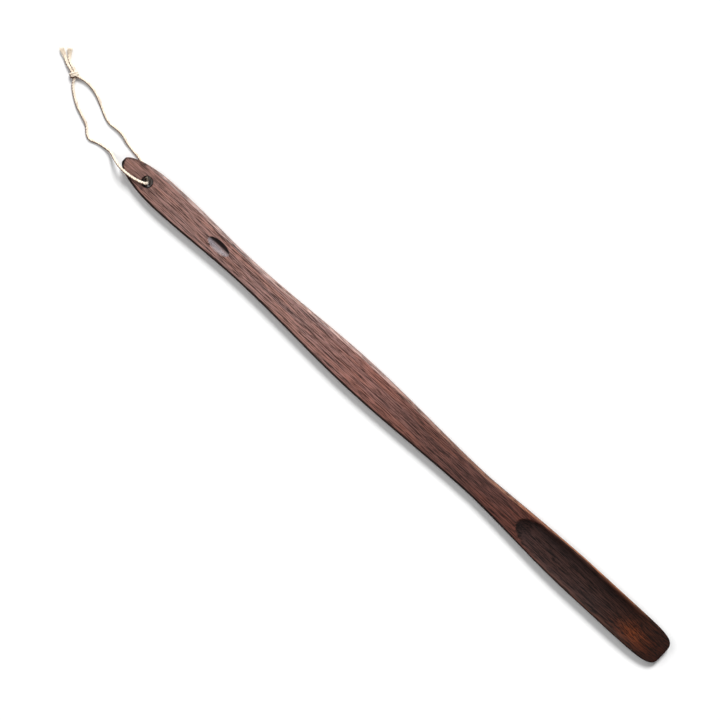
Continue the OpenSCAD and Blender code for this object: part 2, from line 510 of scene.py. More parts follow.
    def blend_tones(
        self, tree: bpy.types.NodeTree, layers: bpy.types.NodeSocket, across: bpy.types.NodeSocket,
        streak: bpy.types.NodeSocket, dash: bpy.types.NodeSocket, ray: bpy.types.NodeSocket,
    ) -> bpy.types.NodeSocket:
        """Adds up the growth rings, streaks, dashes, pore lines and flecks into one tone about zero.

        Args:
            tree: the material's node tree.
            layers: the layers' coordinates in millimetres.
            across: place across the growth layers.
            streak: the streaks.
            dash: the pore dashes.
            ray: the ray flecks.

        Returns:
            The tone, below zero where the stain took more.
        """
        half = self.ring_span / 2
        ring_place = add_node(
            tree, "ShaderNodeMapRange", {"Value": across, "From Min": -half, "From Max": half}
        ).outputs["Result"]
        ramp = add_node(tree, "ShaderNodeValToRGB", {"Fac": ring_place})
        fill_ramp(ramp, [(stop, (tone, tone, tone, 1.0)) for stop, tone in self.rings])
        parts = []
        for value, weight in (
            (ramp.outputs["Color"], self.ring_weight), (streak, self.streak_weight), (dash, self.dash_weight),
        ):
            middle = add_node(tree, "ShaderNodeMath", {0: value, 1: 0.5}, operation="SUBTRACT").outputs[0]
            parts.append((middle, weight))
        parts += [(self.pore_lines(tree, layers, across), self.line_weight), (ray, self.ray_weight)]
        total: Any = self.tone_lift
        for value, weight in parts:
            settings = {0: value, 1: weight, 2: total}
            total = add_node(tree, "ShaderNodeMath", settings, operation="MULTIPLY_ADD").outputs[0]
        return total

    def mixed(
        self, tree: bpy.types.NodeTree, factor: Any, first: Any, second: Any, blend: str = "MIX"
    ) -> bpy.types.NodeSocket:
        """Mixes two colours.

        Args:
            tree: the material's node tree.
            factor: share of the second colour.
            first: colour or socket.
            second: colour or socket.
            blend: the mix's kind.

        Returns:
            The mixed colour.
        """
        node = add_node(tree, "ShaderNodeMix", data_type="RGBA", blend_type=blend)
        for index, value in ((0, factor), (6, first), (7, second)):
            if isinstance(value, bpy.types.NodeSocket):
                tree.links.new(value, node.inputs[index])
            else:
                node.inputs[index].default_value = value
        return node.outputs[2]

    def colours_along(
        self, tree: bpy.types.NodeTree, down: bpy.types.NodeSocket, stops: tuple[tuple[float, str], ...]
    ) -> bpy.types.NodeSocket:
        """A colour that changes along the wood.

        Args:
            tree: the material's node tree.
            down: share of the length from the handle end.
            stops: share of the length and sRGB colour of each stop.

        Returns:
            The colour.
        """
        ramp = add_node(tree, "ShaderNodeValToRGB", {"Fac": down})
        fill_ramp(ramp, [(stop, linear(colour)) for stop, colour in stops])
        return ramp.outputs["Color"]

    def marked(self, tree: bpy.types.NodeTree, name: str) -> bpy.types.NodeSocket:
        """One of the numbers stored on the mesh."""
        return add_node(tree, "ShaderNodeAttribute", attribute_name=name).outputs["Fac"]

    def stain(
        self, tree: bpy.types.NodeTree, tone: bpy.types.NodeSocket, in_mm: bpy.types.NodeSocket,
        split: bpy.types.Node, length: float,
    ) -> bpy.types.NodeSocket:
        """The base colour: lighter on the handle and darker to the blade, as stain and painted light falloff,
        with grain and slow changes of hue.

        The grain is deeper in the channel, and fainter on the sanded edges and in the dimple.

        Args:
            tree: the material's node tree.
            tone: the grain, about zero.
            in_mm: place in millimetres.
            split: its three components.
            length: length of the wood.

        Returns:
            The base colour.
        """
        down = add_node(
            tree, "ShaderNodeMapRange",
            {"Value": split.outputs["X"], "From Min": -length / 2, "From Max": length / 2},
        ).outputs["Result"]
        hollow = self.marked(tree, "channel")
        wood = self.mixed(tree, self.marked(tree, "edge"), self.colours_along(tree, down, self.along),
                          self.colours_along(tree, down, self.edges))
        wood = self.mixed(tree, hollow, wood, self.colours_along(tree, down, self.carved))
        for mark, colour in (
            ("glow", self.tip_glow), ("polish_and_painted_highlight", self.polish_and_painted_highlight), ("run", self.painted_shade_colour),
            ("bore", self.bore_shade_and_end_grain),
        ):
            wood = self.mixed(tree, self.marked(tree, mark), wood, linear(colour))
        slow = self.in_cells(tree, in_mm, self.drift_size)
        drift = add_node(
            tree, "ShaderNodeTexNoise", {"Vector": slow, "Scale": 1.0, "Detail": 2.0, "Lacunarity": 2.4}
        ).outputs["Fac"]
        warm = add_node(tree, "ShaderNodeMapRange", {"Value": drift, "From Min": 0.38, "From Max": 0.62})
        tint = self.mixed(tree, warm.outputs["Result"], self.cool, self.warm)
        wood = self.mixed(tree, 1.0, wood, tint, "MULTIPLY")
        depth: Any = 1.0
        for mark, change in (("channel", 1.2), ("edge", -0.9), ("polish_and_painted_highlight", -0.7)):
            settings = {0: self.marked(tree, mark), 1: change, 2: depth}
            depth = add_node(tree, "ShaderNodeMath", settings, operation="MULTIPLY_ADD").outputs[0]
        grain = add_node(tree, "ShaderNodeMath", {0: tone, 1: depth, 2: 1.0}, operation="MULTIPLY_ADD")
        shade = add_node(tree, "ShaderNodeClamp", {"Value": grain.outputs[0], "Min": 0.25, "Max": 1.7})
        return self.mixed(tree, 1.0, wood, shade.outputs[0], "MULTIPLY")

    def relief(
        self, tree: bpy.types.NodeTree, streak: bpy.types.NodeSocket, dash: bpy.types.NodeSocket,
        ray: bpy.types.NodeSocket,
    ) -> bpy.types.NodeSocket:
        """Grain that can be felt: pores and rays are shallow grooves in a slightly wavy sanded surface.

        Args:
            tree: the material's node tree.
            streak: the streaks.
            dash: the pore dashes.
            ray: the ray flecks.

        Returns:
            The bent normal.
        """
        normal = add_node(
            tree, "ShaderNodeBump", {"Height": streak, "Strength": 0.4, "Distance": 0.3 * MM}
        ).outputs["Normal"]
        for height, strength, distance, inward in ((dash, 0.5, 0.2, False), (ray, 0.3, 0.03, True)):
            settings = {"Height": height, "Strength": strength, "Distance": distance * MM, "Normal": normal}
            normal = add_node(tree, "ShaderNodeBump", settings, invert=inward).outputs["Normal"]
        return normal


@dataclass(frozen=True)
class JuteYarn:
    """Natural jute spun into plies: matt and straw coloured, with long fibres and a faint sheen along them.

    The grooves between the plies are coloured brown as painted shade, which shows the twist. So is the -Y
    side,
    as a fixed colour that stands for shade: it suits light from +Y only, and stays on that side of the twine
    when the loop swings.
    """

    name: str = "jute_yarn"
    light: str = "FFF3DF"
    shade: str = "855530"
    # painted shade in the grooves between the plies
    painted_groove_shade: str = "6E3A16"
    roughness: float = 0.85
    fibre_width: float = 0.12  # in millimetres, a bundle of jute fibres
    fibre_length: float = 3.0
    fibre_lean: float = 14.0  # degrees that the fibres wind round a ply
    patches: float = 0.11  # lighter and darker patches in a millimetre

    def build(self) -> bpy.types.Material:
        """Makes the material, which reads the yarn's own map: millimetres along and millimetres around.

        Returns:
            The material.
        """
        material, tree = new_material(self.name)
        place = add_node(tree, "ShaderNodeTexCoord").outputs["UV"]
        scaled = add_node(
            tree, "ShaderNodeMapping",
            {"Vector": place, "Rotation": (0.0, 0.0, math.radians(self.fibre_lean)),
             "Scale": (1 / self.fibre_length, 1 / self.fibre_width, 1.0)},
        ).outputs["Vector"]
        fibres = add_node(
            tree, "ShaderNodeTexNoise", {"Vector": scaled, "Scale": 1.0, "Detail": 3.0, "Roughness": 0.7}
        ).outputs["Fac"]
        patches = add_node(
            tree, "ShaderNodeTexNoise", {"Vector": place, "Scale": self.patches, "Detail": 1.0}
        ).outputs["Fac"]
        tone = add_node(tree, "ShaderNodeMath", {0: fibres, 1: patches}, operation="ADD").outputs[0]
        ramp = add_node(
            tree, "ShaderNodeValToRGB",
            {"Fac": add_node(tree, "ShaderNodeMath", {0: tone, 1: 0.5}, operation="MULTIPLY").outputs[0]},
        )
        fill_ramp(ramp, [(0.34, linear(self.shade)), (0.475, linear(self.light))])
        outer = add_node(
            tree, "ShaderNodeMapRange",
            {"Value": add_node(tree, "ShaderNodeAttribute", attribute_name="outer").outputs["Fac"],
             "From Min": 0.70, "From Max": 1.02},
        ).outputs["Result"]
        colour = add_node(tree, "ShaderNodeMix", data_type="RGBA")
        tree.links.new(outer, colour.inputs[0])
        colour.inputs[6].default_value = linear(self.painted_groove_shade)
        tree.links.new(ramp.outputs["Color"], colour.inputs[7])
        normal = add_node(
            tree, "ShaderNodeBump", {"Height": fibres, "Strength": 0.6, "Distance": 0.1 * MM}
        ).outputs["Normal"]
        shader = add_node(
            tree, "ShaderNodeBsdfPrincipled",
            {"Base Color": colour.outputs[2], "Roughness": self.roughness, "IOR": 1.5,
             "Specular IOR Level": 0.2, "Sheen Weight": 0.25, "Sheen Roughness": 0.5, "Normal": normal},
        )
        add_node(tree, "ShaderNodeOutputMaterial", {"Surface": shader.outputs["BSDF"]})
        return material


# ---------------------------------------------------------------- the wood


@dataclass
class CarvedBody:
    """The one-piece shoehorn: handle, thumb dimple, shaft and hollowed blade, in millimetres."""

    length: float = 750.0
    thickness: float = 12.0
    handle_width: float = 33.0
    waist_width: float = 25.8
    middle_width: float = 36.5
    neck_width: float = 27.0
    blade_width: float = 39.0
    front_edge: float = 2.8
    back_edge: float = 4.0
    rim_edge: float = 1.3
    crown: float = 0.3
    hole_at: float = 33.4
    hole_radius: float = 5.5
    hole_rounding: float = 0.9
    handle_lift: float = 4.0
    dimple_at: float = 132.1
    dimple_length: float = 29.6
    dimple_width: float = 12.4
    dimple_depth: float = 3.6
    channel_length: float = 203.0
    channel_depth: float = 5.6
    rim_width: float = 2.6
    tip_lift: float = 5.8
    face_samples: int = 61
    arc_samples: int = 8
    side_samples: int = 3
    finish: StainedBeech = field(default_factory=StainedBeech)

    # where the outline is widest and narrowest, from the handle end or back from the tip
    HANDLE_AT = 58.0
    WAIST_AT = 170.0
    MIDDLE_AT = 329.0
    NECK_FROM_TIP = 253.0
    BLADE_FROM_TIP = 114.0
    TIP_LENGTH = 60.0
    TIP_POWER = 4.7
    NECK_START_SLOPE = 0.8
    # the side view: the lifted handle end, the thinner blade and the rounded ends
    LIFT_UNTIL = 56.0
    LIFT_END = 122.0
    THINNER_BY = 3.0
    THINNER_FROM_TIP = 62.0
    BACK_RISE_FROM_TIP = 190.0
    NOSE_BLUNT = 1.0
    TIP_BLUNT = 0.002
    NOSE_ROUNDING = 6.0
    TIP_ROUNDING = 3.0
    END_SHARE = 0.5  # of the thickness that is left at the very ends
    END_BULGE = 0.4
    # the channel
    CHANNEL_ENTRY = 22.0
    CHANNEL_MOUTH = 24.0
    CHANNEL_POWER = 2.3
    RUN_OUT_FROM_TIP = 68.0
    RUN_OUT_TO_TIP = 14.0
    # the grid of points: the front's outermost strip, the back's edge, and cells round the hanging hole
    FACE_EDGE = 0.94
    BACK_EDGE_SHARE = 0.78
    HOLE_CELLS = 15
    HOLE_WARP = 14
    HOLE_STEP = 0.4

    # ---- outline and heights, all functions of a

    def half_width(self, a: Points) -> Points:
        """Half the outline's width: an elliptical nose, four eased swells and a superelliptic tip.

        Args:
            a: distances from the handle end.

        Returns:
            Half widths.
        """
        neck, blade = self.length - self.NECK_FROM_TIP, self.length - self.BLADE_FROM_TIP
        tip = self.length - self.TIP_LENGTH
        nose = self.handle_width * round_end((self.HANDLE_AT - a) / (self.HANDLE_AT + self.NOSE_BLUNT), 2)
        swells = [
            (self.HANDLE_AT, self.WAIST_AT, self.handle_width, self.waist_width, 0.0),
            (self.WAIST_AT, self.MIDDLE_AT, self.waist_width, self.middle_width, 0.0),
            (self.MIDDLE_AT, neck, self.middle_width, self.neck_width, 0.0),
            (neck, blade, self.neck_width, self.blade_width, self.NECK_START_SLOPE),
        ]
        width = nose
        for start, stop, low, high, slope in swells:
            width = np.where(a >= start, low + (high - low) * ease(share(a, start, stop), slope), width)
        along_tip = (1 - self.TIP_BLUNT) * share(a, tip, self.length)
        return np.where(a >= tip, self.blade_width * round_end(along_tip, self.TIP_POWER), width) / 2

    def heights(self, a: Points) -> tuple[Points, Points]:
        """Heights of the front and the back, rounded off in side view at both ends.

        Args:
            a: distances from the handle end.

        Returns:
            Height of the front face's edge, and height of the back's middle line.
        """
        thinner = share(a, self.length - self.THINNER_FROM_TIP, self.length) ** 2
        front = self.thickness - self.THINNER_BY * thinner
        lift = self.handle_lift * (1 - ease(share(a, self.LIFT_UNTIL, self.LIFT_END)))
        back = lift + self.tip_lift * share(a, self.length - self.BACK_RISE_FROM_TIP, self.length) ** 1.6
        left = round_end(1 - share(a, 0.0, self.NOSE_ROUNDING), 2)
        right = round_end(share(a, self.length - self.TIP_ROUNDING, self.length), 2)
        cut = 1 - self.END_SHARE
        keep = (self.END_SHARE + cut * left) * (self.END_SHARE + cut * right)
        middle, half = (front + back) / 2, (front - back) / 2 * keep
        return middle + half, middle - half

    def blade_share(self, a: Points) -> Points:
        """0 on the handle and shaft, 1 on the blade."""
        start = self.length - self.channel_length
        return ease(share(a, start - 30.0, start + 60.0))

    def roundings(self, a: Points) -> tuple[Points, Points, Points]:
        """Radius of the front edges, and width and height of the back's quarter ellipses.

        Args:
            a: distances from the handle end.

        Returns:
            Front radius, back width and back height.
        """
        w, (top, bottom), blade = self.half_width(a), self.heights(a), self.blade_share(a)
        front = self.front_edge + (self.rim_edge - self.front_edge) * blade
        front = np.minimum(front, np.minimum(w, (top - bottom) / 2) * 0.9)
        wide = np.minimum(self.back_edge + (w * 0.92 - self.back_edge) * blade, w * 0.94)
        room = top - bottom - front
        high = np.minimum(self.back_edge + (room - 1 - self.back_edge) * blade, room * 0.9)
        return front, wide, high

    # ---- hollows in the front face

    def dimple(self, a: Points, y: Points) -> Points:
        """Depth of the thumb dimple: a paraboloid over an ellipse, with its rim rounded by a hair.

        Args:
            a: distances from the handle end.
            y: distances from the middle line.

        Returns:
            Depths.
        """
        u = (a - self.dimple_at) / (self.dimple_length / 2)
        v = (y - 0.4) / (self.dimple_width / 2)
        bowl = 1 - np.abs(u) ** 2.0 - np.abs(v) ** 2.0
        return self.dimple_depth * soft_positive(bowl, 0.025)

    def channel(self, a: Points, y: Points) -> Points:
        """Depth of the blade's channel: a round entry, a trough of even depth and a run-out at the tip.

        The floor rises out of the entry as a quarter circle, and across the blade the trough is
        1 minus the distance from the middle, as a share of its half width, to the power 2.3.

        Args:
            a: distances from the handle end.
            y: distances from the middle line.

        Returns:
            Depths.
        """
        start = self.length - self.channel_length
        opening = round_end(1 - share(a, start, start + self.CHANNEL_MOUTH), 2)
        half = np.maximum(0.05, (self.half_width(a) - self.rim_width) * opening)
        entry = 1 - (1 - share(a, start, start + self.CHANNEL_ENTRY)) ** 2
        rise = 1 - ease(share(a, self.length - self.RUN_OUT_FROM_TIP, self.length - self.RUN_OUT_TO_TIP))
        floor = self.channel_depth * entry**0.8 * rise
        across = 1 - (np.abs(y) / half) ** self.CHANNEL_POWER
        return np.where(a <= start, 0.0, floor * soft_positive(np.maximum(across, -1.0), 0.03))

    def front_z(self, a: Points, y: Points) -> Points:
        """Height of the front face, with its crown and hollows.

        Args:
            a: distances from the handle end.
            y: distances from the middle line.

        Returns:
            Heights.
        """
        top, _ = self.heights(a)
        radius, _, _ = self.roundings(a)
        flat = self.half_width(a) - radius
        crown = self.crown * (1 - self.blade_share(a)) * (1 - (y / flat) ** 2)
        return top + crown - self.dimple(a, y) - self.channel(a, y)

    def back_z(self, a: Points, y: Points) -> Points:
        """Height of the back: flat in the middle, then a quarter ellipse up to each side.

        Args:
            a: distances from the handle end.
            y: distances from the middle line.

        Returns:
            Heights.
        """
        _, bottom = self.heights(a)
        _, wide, high = self.roundings(a)
        over = np.clip((np.abs(y) - (self.half_width(a) - wide)) / wide, 0.0, 1.0)
        return bottom + high * (1 - np.sqrt(1 - over**2))

    # ---- the mesh

    def stations(self) -> Points:
        """Distances of the cross-sections, closest at the nose, hole, dimple, channel entry and tip."""
        start = self.length - self.channel_length
        window = (self.HOLE_CELLS + self.HOLE_WARP) * self.HOLE_STEP
        low, high = self.hole_at - window, self.hole_at + window
        dimple_low = self.dimple_at - self.dimple_length / 2
        dimple_high = self.dimple_at + self.dimple_length / 2
        spans = [
            self.END_BULGE + (low - self.END_BULGE) * np.linspace(0, 1, 34)[:-1] ** 1.5,
            np.linspace(low, high, 2 * (self.HOLE_CELLS + self.HOLE_WARP) + 1)[:-1],
            np.linspace(high, dimple_low - 1, 28)[:-1],
            np.linspace(dimple_low - 1, dimple_high + 1, 60)[:-1],
            np.linspace(dimple_high + 1, start - 2, 96)[:-1],
            start - 2 + 36 * np.linspace(0, 1, 66)[:-1] ** 1.25,
            np.linspace(start + 34, self.length - self.TIP_LENGTH, 38)[:-1],
            self.length - self.END_BULGE - (self.TIP_LENGTH - self.END_BULGE) * np.linspace(1, 0, 52) ** 1.6,
        ]
        return np.concatenate(spans)

    def plan(self, a: Points) -> tuple[Points, Points, Points]:
        """Sideways places of the points of each cross-section.

        Args:
            a: distances of the cross-sections.

        Returns:
            Places across the front, from one side to the other; across the back; and the front edge's places.
        """
        w = self.half_width(a)[:, None]
        radius, _, _ = self.roundings(a)
        flat = w - radius[:, None]
        blade = self.blade_share(a)[:, None]
        edge = 0.93 * flat * (1 - blade) + np.minimum(w - self.rim_width, 0.97 * flat) * blade
        v = np.linspace(-1, 1, self.face_samples)[None, :]
        inner = edge * v / self.FACE_EDGE
        outer = edge + (flat - edge) * (np.abs(v) - self.FACE_EDGE) / (1 - self.FACE_EDGE)
        front = np.where(np.abs(v) <= self.FACE_EDGE, inner, np.sign(v) * outer)
        back = self.BACK_EDGE_SHARE * w * v
        return front, back, flat

    def cross_sections(self, a: Points) -> tuple[Points, Points, Points]:
        """The rings of points round the wood, before the hole is opened.

        A ring runs across the front, down the +Y side, back across and up the -Y side.

        Args:
            a: distances of the cross-sections.

        Returns:
            Distances, sideways places and heights, one row a ring.
        """
        column = a[:, None]
        top, bottom = (h[:, None] for h in self.heights(a))
        radius, _, high = (r[:, None] for r in self.roundings(a))
        w = self.half_width(a)[:, None]
        front, back, flat = self.plan(a)
        angle = np.linspace(0, math.pi / 2, self.arc_samples + 1)[None, 1:]
        corner_y, corner_z = flat + radius * np.sin(angle), top - radius + radius * np.cos(angle)
        drop = np.linspace(0, 1, self.side_samples + 2)[None, 1:-1]
        side_low = bottom + high
        side_y, side_z = w + 0 * drop, (top - radius) + (side_low - top + radius) * drop
        start = math.asin(self.BACK_EDGE_SHARE)
        swing = np.linspace(math.pi / 2, start, self.arc_samples + 1)[None, :-1]
        belly_y = w * np.sin(swing)
        belly_z = self.back_z(column, belly_y)
        right_y = np.concatenate([corner_y, side_y, belly_y], axis=1)
        right_z = np.concatenate([corner_z, side_z, belly_z], axis=1)
        y = np.concatenate([front, right_y, back[:, ::-1], -right_y[:, ::-1]], axis=1)
        front_z, back_z = self.front_z(column, front), self.back_z(column, back[:, ::-1])
        z = np.concatenate([front_z, right_z, back_z, right_z[:, ::-1]], axis=1)
        return np.broadcast_to(column, y.shape).copy(), y, z

    def open_hole(self, a: Points, y: Points, columns: slice, centre: int) -> None:
        """Bends the grid round the hanging hole, so that a square of cells becomes the hole's round mouth.

        A point's square distance from the axis is turned into a round one: fully at the mouth, and less and
        less over the next cells.

        Args:
            a: distances, changed in place.
            y: sideways places, changed in place.
            columns: the ring's columns on this face.
            centre: row of the cross-section through the hole's axis.
        """
        reach = self.HOLE_CELLS + self.HOLE_WARP
        middle = (columns.start + columns.stop - 1) // 2
        rows = slice(centre - reach, centre + reach + 1)
        cells = slice(middle - reach, middle + reach + 1)
        row_step = np.abs(np.arange(-reach, reach + 1))[:, None]
        cell_step = np.abs(np.arange(-reach, reach + 1))[None, :]
        steps = np.maximum(row_step, cell_step)
        weight = 1 - ease(np.clip((steps - self.HOLE_CELLS) / self.HOLE_WARP, 0, 1))
        dx, dy = a[rows, cells] - self.hole_at, y[rows, cells]
        away = np.maximum(np.hypot(dx, dy), 1e-6)
        target = (self.hole_radius + self.hole_rounding) * steps / self.HOLE_CELLS
        scale = 1 + weight * (target / away - 1)
        a[rows, cells] = self.hole_at + dx * scale
        y[rows, cells] = dy * scale

    def mouth(self, columns: slice, centre: int, width: int, mirrored: bool) -> tuple[Points, Points]:
        """The loop of grid points round one mouth of the hole, and the cells inside it.

        Args:
            columns: the ring's columns on this face.
            centre: row of the cross-section through the hole's axis.
            width: points in a ring.
            mirrored: whether the face's columns run towards -Y, as the back's do.

        Returns:
            Indices of the loop's points, counted the same way round on both faces, and the first and last row
            and column of the cells inside it.
        """
        n = self.HOLE_CELLS
        middle = (columns.start + columns.stop - 1) // 2
        side = -1 if mirrored else 1
        walk = np.arange(-n, n)
        rows = np.concatenate([np.full(2 * n, -n), walk, np.full(2 * n, n), -walk])
        cells = np.concatenate([walk, np.full(2 * n, n), -walk, np.full(2 * n, -n)])
        loop = (centre + rows) * width + middle + side * cells
        return loop, np.array([centre - n, centre + n, middle - n, middle + n])

    def build(self) -> bpy.types.Object:
        """Builds the wood as one closed surface with the hanging hole through it.

        Returns:
            The finished object.
        """
        rows = self.stations()
        a, y, z = self.cross_sections(rows)
        width = y.shape[1]
        front = slice(0, self.face_samples)
        back_start = self.face_samples + 2 * self.arc_samples + self.side_samples
        back = slice(back_start, back_start + self.face_samples)
        centre = int(np.argmin(np.abs(rows - self.hole_at)))
        for columns in (front, back):
            self.open_hole(a, y, columns, centre)
        z[:, front] = self.front_z(a[:, front], y[:, front])
        z[:, back] = self.back_z(a[:, back], y[:, back])
        points = np.stack([a, y, z], axis=-1).reshape(-1, 3)
        quads = grid_faces(len(rows), width, True)
        keep = np.ones((len(rows) - 1, width), dtype=bool)
        loops = []
        for columns, mirrored in ((front, False), (back, True)):
            loop, (r0, r1, c0, c1) = self.mouth(columns, centre, width, mirrored)
            keep[r0:r1, c0:c1] = False
            loops.append(loop)
        faces = [quads[keep.ravel()]]
        extra, wall = self.bore_wall(points[loops[0]], points[loops[1]])
        count = len(loops[0])
        first = len(points)
        index = np.concatenate([loops[0], first + np.arange(len(extra)), loops[1]])
        faces.append(index[grid_faces(wall, count, True)][:, ::-1])
        points = np.concatenate([points, extra])
        fans = []
        for row, outward in ((0, -1.0), (len(rows) - 1, 1.0)):
            points, cap_quads, cap_fan = self.end_cap(points, row, width, outward)
            faces.append(cap_quads)
            fans.append(cap_fan)
        points[:, 0] -= self.length / 2
        piece = make_piece("carved_body", points, [face for block in faces + fans for face in block.tolist()])
        self.mark(piece, points)
        return piece

    def bore_wall(self, top: Points, bottom: Points) -> tuple[Points, int]:
        """Rings of the bore between its two mouths: rounded lips with a straight wall between.

        Along a lip the radius is the bore's plus the rounding times (1 - sin t), and the height is the face's
        moved inwards by the rounding times (1 - cos t).

        Args:
            top: the front mouth's points.
            bottom: the back mouth's points, in the same order.

        Returns:
            The new rings' points, and how many rings there are with both mouths counted.
        """
        axis = np.array([self.hole_at, 0.0, 0.0])
        flat = (top - axis) * [1, 1, 0]
        direction = flat / np.linalg.norm(flat, axis=1)[:, None]
        turn = np.linspace(0, math.pi / 2, 6)[1:]
        flare = self.hole_rounding * (1 - np.sin(turn))
        fall = self.hole_rounding * (1 - np.cos(turn))
        down = np.linspace(0, 1, 6)[1:-1]
        radius = self.hole_radius + np.concatenate([flare, 0 * down, flare[::-1]])
        towards_back = np.concatenate([0 * turn, down, 0 * turn + 1])
        shift = np.concatenate([-fall, self.hole_rounding * (2 * down - 1), fall[::-1]])
        height = np.outer(1 - towards_back, top[:, 2]) + np.outer(towards_back, bottom[:, 2]) + shift[:, None]
        rings = axis + direction[None] * radius[:, None, None] + height[:, :, None] * [0, 0, 1]
        return rings.reshape(-1, 3), len(radius) + 2

    def end_cap(self, points: Points, row: int, width: int, outward: float) -> tuple[Points, Points, Points]:
        """Closes one end with rings that shrink as a quarter circle while they move outwards.

        Args:
            points: all points so far.
            row: the end ring's row.
            width: points in a ring.
            outward: -1 at the handle end and 1 at the tip.

        Returns:
            The points with the cap's added, the cap's quads and the last fan of triangles.
        """
        ring = points[row * width : (row + 1) * width]
        middle = (ring.max(0) + ring.min(0)) / 2
        turn = np.linspace(0, math.pi / 2, 8)[1:-1, None, None]
        out = np.array([outward * self.END_BULGE, 0.0, 0.0])
        rings = middle + (ring - middle) * np.cos(turn) ** 0.6 + out * np.sin(turn)
        first = len(points)
        count = len(turn)
        index = np.concatenate([row * width + np.arange(width), first + np.arange(count * width)])
        quads = index[grid_faces(count + 1, width, True)]
        points = np.concatenate([points, rings.reshape(-1, 3), (middle + out)[None, :]])
        triangles = fan(first + (count - 1) * width + np.arange(width), len(points) - 1)
        if outward < 0:
            return points, quads[:, ::-1], triangles
        return points, quads, triangles[:, [1, 0, 2]]

    def painted_hollow_shade(self, a: Points, y: Points) -> Points:
        """Where the hollows are coloured dark, for shade: channel's entry and +Y wall, and dimple's +Y half.

        Args:
            a: distances from the handle end.
            y: distances from the middle line.

        Returns:
            Shares from 0 to 1.
        """
        start = self.length - self.channel_length
        in_channel = ease(share(self.channel(a, y), 0.3, 1.6))
        entry = 0.7 * (1 - ease(share(a, start + 6, start + 24)))
        across = y / np.maximum(1.0, self.half_width(a) - self.rim_width)
        wall = 0.5 * ease(share(across, 0.35, 0.9)) * (1 - ease(share(a, self.length - 60, self.length - 20)))
        bowl = ease(share(self.dimple(a, y), 0.1, 0.6))
        return np.maximum(in_channel * np.maximum(entry, wall), bowl * 0.94 * ease(share(y, 0.0, 2.6)))

    def mark(self, piece: bpy.types.Object, points: Points) -> None:
        """Stores where the wood looks different: channel, worn edges with a painted highlight on +Y, painted
        shade, tip, dimple and bore.

        Args:
            piece: the finished mesh.
            points: its vertices in millimetres.
        """
        a, y, z = points[:, 0] + self.length / 2, points[:, 1], points[:, 2]
        top, bottom = self.heights(a)
        radius, _, _ = self.roundings(a)
        on_front = z > (top + bottom) / 2 - 1.5
        # the channel's floor, and the front of the blade's last stretch, which gets the channel's darker
        # colour too
        depth = np.where(on_front, self.channel(a, y), 0.0)
        tip = 0.8 * ease(share(a, self.length - 80, self.length - 20)) * on_front
        add_attribute(piece, "channel", np.clip(np.maximum(depth / 2.2, tip), 0, 1))
        # pale edges, gone near both ends: much stronger on the +Y side, where they stand for light on it
        flat = self.half_width(a) - radius
        beyond = np.clip((np.abs(y) - flat) / radius, -1, 1)
        high_side = np.clip((z - bottom) / np.maximum(top - bottom, 0.1), 0, 1)
        end_fade = ease(share(a, 14, 50)) * (1 - ease(share(a, self.length - 45, self.length - 15)))
        wear = ease(share(beyond, 0.02, 0.4)) * high_side * np.where(y > 0, 1.0, 0.3)
        add_attribute(piece, "edge", (0.5 + 0.15 * self.blade_share(a)) * end_fade * wear)
        # a lighter, redder patch near the tip
        glow = np.exp(-(((a - (self.length - 36.0)) / 17.0) ** 2) - ((y + 5.0) / 8.0) ** 2)
        add_attribute(piece, "glow", 0.45 * glow * on_front)
        # painted shade, a dark colour: along the -Y edge, round the nose, at the handle's
        # very end, in the hollows, and the twine's painted shadow below the hole
        nose = 1 - ease(share(a, 10, 46))
        lower = np.where(y < 0, ease(share(beyond, -0.12, 0.24)), 0.7 * ease(share(beyond, 0.1, 0.5)) * nose)
        tip_end = 1 - ease(share(a + 0.35 * y, 1.4, 3.8))
        # painted shadow of the twine where it comes out of the hole
        painted_twine_shadow = 0.6 * np.exp(-(((a - self.hole_at) / 2.2) ** 2) - ((y + 8.6) / 3.0) ** 2)
        # painted shade in the hollows, and the twine's painted shadow below the hole
        hollow_and_twine_shade = np.maximum(self.painted_hollow_shade(a, y), painted_twine_shadow) * on_front
        add_attribute(piece, "run", np.maximum.reduce([lower * high_side, tip_end, hollow_and_twine_shade]))
        # the dimple, painted paler as a highlight and made glossier, and the bore, painted dark as shade
        # together with its end grain
        add_attribute(piece, "polish_and_painted_highlight", ease(share(self.dimple(a, y) * on_front, 0.15, 0.9)))
        from_axis = np.hypot(a - self.hole_at, y)
        bore = 1 - ease(share(from_axis, self.hole_radius + 0.3, self.hole_radius + 1.4))
        add_attribute(piece, "bore", bore)

    def dress(self, piece: bpy.types.Object) -> None:
        """Gives the wood its finish and ties it to its CAD body.

        Args:
            piece: the finished mesh.
        """
        piece.data.materials.append(self.finish.build(self.length))
        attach(piece, Body.WOOD.value)
        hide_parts("shoehorn_body")


# ---------------------------------------------------------------- the twine


def travel(line: Points) -> Points:
    """Distance along a line at each of its points."""
    return np.concatenate([[0.0], np.cumsum(np.linalg.norm(np.diff(line, axis=0), axis=1))])


def smooth_route(route: list[tuple[float, float, float]], step: float) -> Points:
    """A Catmull-Rom curve through a route's points, sampled at even distances.

    Args:
        route: points in millimetres.
        step: distance between samples.

    Returns:
        The sampled points.
    """
    p = np.array(route, dtype=float)
    p = np.vstack([2 * p[0] - p[1], p, 2 * p[-1] - p[-2]])
    t = np.linspace(0, 1, 24, endpoint=False)[:, None]
    parts = []
    for i in range(1, len(p) - 2):
        a, b, c, d = p[i - 1], p[i], p[i + 1], p[i + 2]
        curve = 2 * b + (c - a) * t + (2 * a - 5 * b + 4 * c - d) * t**2 + (3 * b - a - 3 * c + d) * t**3
        parts.append(curve / 2)
    dense = np.vstack([*parts, p[-2]])
    run = travel(dense)
    count = max(4, int(round(run[-1] / step)) + 1)
    even = np.linspace(0, run[-1], count)
    return np.stack([np.interp(even, run, dense[:, k]) for k in range(3)], axis=1)


